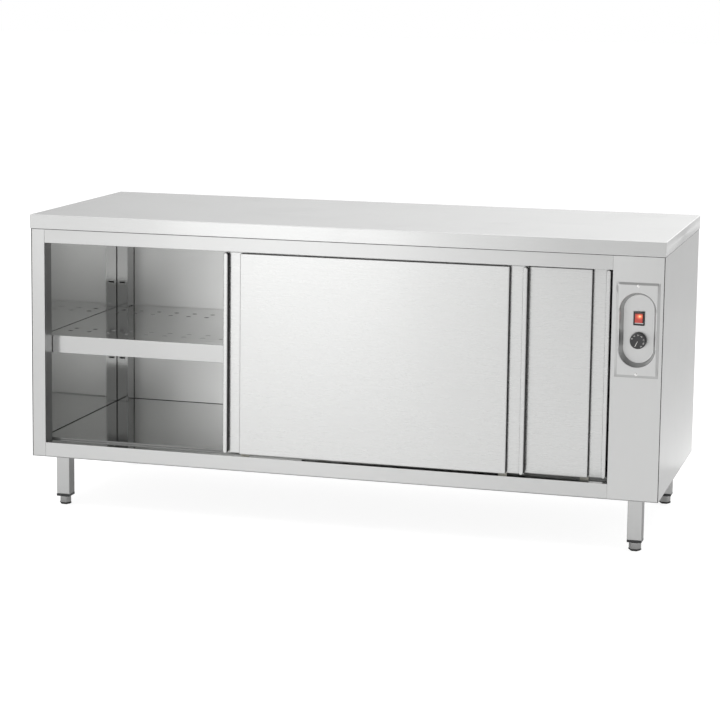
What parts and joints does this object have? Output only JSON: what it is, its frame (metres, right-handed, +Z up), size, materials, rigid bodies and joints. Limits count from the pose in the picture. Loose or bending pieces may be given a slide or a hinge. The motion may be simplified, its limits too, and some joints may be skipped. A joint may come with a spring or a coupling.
{
  "type": "plate warmer cabinet",
  "caption": "Long low stainless steel heated cupboard on legs: flat worktop, sliding doors over a shelf, control column with rocker switch and thermostat knob at the right.",
  "frame": {"origin": "on the floor, under the middle of the cabinet", "axes": "+X to the right seen from the front, along the worktop; +Y from the doors to the back; +Z up"},
  "size_m": [1.8, 0.7, 0.85],
  "materials": {
    "satin_steel": "satin brushed stainless steel",
    "door_steel": "satin brushed stainless steel",
    "plate_steel": "satin stainless steel plate",
    "shelf_steel": "satin stainless steel",
    "lining_steel": "bright rolled stainless steel",
    "track_steel": "plain steel",
    "core_board": "raw board",
    "mineral_wool": "matted fibre",
    "black_plastic": "fine matt",
    "ivory_plastic": "matt",
    "knob_black": "satin",
    "rocker_red": "clear moulded plastic, lit from inside",
    "nylon": "moulded nylon",
    "screw_steel": "polished",
    "dark_metal": "dark paint",
    "heater_steel": "heat-tinted tube",
    "wire_insulation": "silicone",
    "foot_steel": "turned steel on a black rubber base"
  },
  "bodies": {
    "chassis": {"worktop": "satin_steel", "worktop_core": "core_board", "ceiling_panel": "lining_steel", "left_outer_panel": "satin_steel", "left_liner": "lining_steel", "right_cover": "satin_steel", "column_partition": "lining_steel", "back_outer_panel": "satin_steel", "back_liner": "lining_steel", "floor_liner": "lining_steel", "base_panel": "satin_steel", "insulation_mats": "mineral_wool", "top_rail": "satin_steel", "bottom_rail": "satin_steel", "left_stile": "satin_steel", "control_stile": "satin_steel", "rear_left_upright": "lining_steel", "rear_right_upright": "lining_steel", "shelf_brackets": "lining_steel", "top_track": "track_steel", "bottom_track": "track_steel", "control_plate": "plate_steel", "control_screws": "screw_steel", "switch_housing": "black_plastic", "thermostat": "dark_metal", "safety_cutout": "dark_metal", "terminal_block": "ivory_plastic", "fan_chamber": "lining_steel", "fan_motor": "dark_metal", "heating_element": "heater_steel", "cable_gland": "black_plastic", "wiring_loom": "wire_insulation", "leg_caps": "black_plastic", "front_left_leg": "satin_steel", "front_right_leg": "satin_steel", "rear_left_leg": "satin_steel", "rear_right_leg": "satin_steel"},
    "shelf": {"shelf": "shelf_steel"},
    "rocker": {"rocker": "rocker_red"},
    "knob": {"knob": "knob_black"},
    "fan_rotor": {"fan_impeller": "track_steel"},
    "front_left_foot": {"front_left_foot": "foot_steel"},
    "front_right_foot": {"front_right_foot": "foot_steel"},
    "rear_left_foot": {"rear_left_foot": "foot_steel"},
    "rear_right_foot": {"rear_right_foot": "foot_steel"},
    "front_door": {"front_door_skin": "door_steel", "front_door_core": "mineral_wool", "front_door_back": "door_steel", "front_door_hangers": "screw_steel", "front_door_guides": "nylon"},
    "front_left_wheel": {"front_left_roller": "nylon"},
    "front_right_wheel": {"front_right_roller": "nylon"},
    "rear_door": {"rear_door_skin": "door_steel", "rear_door_core": "mineral_wool", "rear_door_back": "door_steel", "rear_door_hangers": "screw_steel", "rear_door_guides": "nylon"},
    "rear_left_wheel": {"rear_left_roller": "nylon"},
    "rear_right_wheel": {"rear_right_roller": "nylon"}
  },
  "joints": [
    {"name": "front_door_slide", "type": "slide", "parent": "chassis", "child": "front_door", "axis": [1, 0, 0], "range_m": [-0.5245, 0.2195]},
    {"name": "front_left_wheel_roll", "type": "hinge", "parent": "front_door", "child": "front_left_wheel", "pos_m": [-0.2335, -0.332, 0.7893], "axis": [0, 1, 0], "range_deg": [-2735, 1146]},
    {"name": "front_right_wheel_roll", "type": "hinge", "parent": "front_door", "child": "front_right_wheel", "pos_m": [0.4415, -0.332, 0.7893], "axis": [0, 1, 0], "range_deg": [-2735, 1146]},
    {"name": "rear_door_slide", "type": "slide", "parent": "chassis", "child": "rear_door", "axis": [1, 0, 0], "range_m": [-0.744, 0]},
    {"name": "rear_left_wheel_roll", "type": "hinge", "parent": "rear_door", "child": "rear_left_wheel", "pos_m": [-0.014, -0.307, 0.7893], "axis": [0, 1, 0], "range_deg": [-3878, 0]},
    {"name": "rear_right_wheel_roll", "type": "hinge", "parent": "rear_door", "child": "rear_right_wheel", "pos_m": [0.661, -0.307, 0.7893], "axis": [0, 1, 0], "range_deg": [-3878, 0]},
    {"name": "rocker_tilt", "type": "hinge", "parent": "chassis", "child": "rocker", "pos_m": [0.8295, -0.314, 0.641], "axis": [1, 0, 0], "range_deg": [0, 20]},
    {"name": "knob_turn", "type": "hinge", "parent": "chassis", "child": "knob", "pos_m": [0.8295, -0.33, 0.582], "axis": [0, -1, 0], "range_deg": [-155, 144]},
    {"name": "fan_spin", "type": "hinge", "parent": "chassis", "child": "fan_rotor", "pos_m": [0.805, 0.1, 0.42], "axis": [1, 0, 0], "continuous": true},
    {"name": "shelf_lift", "type": "slide", "parent": "chassis", "child": "shelf", "axis": [0, 0, 1], "range_m": [0, 0.08]},
    {"name": "front_left_foot_height", "type": "slide", "parent": "chassis", "child": "front_left_foot", "axis": [0, 0, 1], "range_m": [-0.05, 0]},
    {"name": "front_right_foot_height", "type": "slide", "parent": "chassis", "child": "front_right_foot", "axis": [0, 0, 1], "range_m": [-0.05, 0]},
    {"name": "rear_left_foot_height", "type": "slide", "parent": "chassis", "child": "rear_left_foot", "axis": [0, 0, 1], "range_m": [-0.05, 0]},
    {"name": "rear_right_foot_height", "type": "slide", "parent": "chassis", "child": "rear_right_foot", "axis": [0, 0, 1], "range_m": [-0.05, 0]}
  ],
  "couplings": [
    {"joint": "front_left_wheel_roll", "follows": "front_door_slide", "rad_per_m": 90.909},
    {"joint": "front_right_wheel_roll", "follows": "front_door_slide", "rad_per_m": 90.909},
    {"joint": "rear_left_wheel_roll", "follows": "rear_door_slide", "rad_per_m": 90.909},
    {"joint": "rear_right_wheel_roll", "follows": "rear_door_slide", "rad_per_m": 90.909}
  ]
}
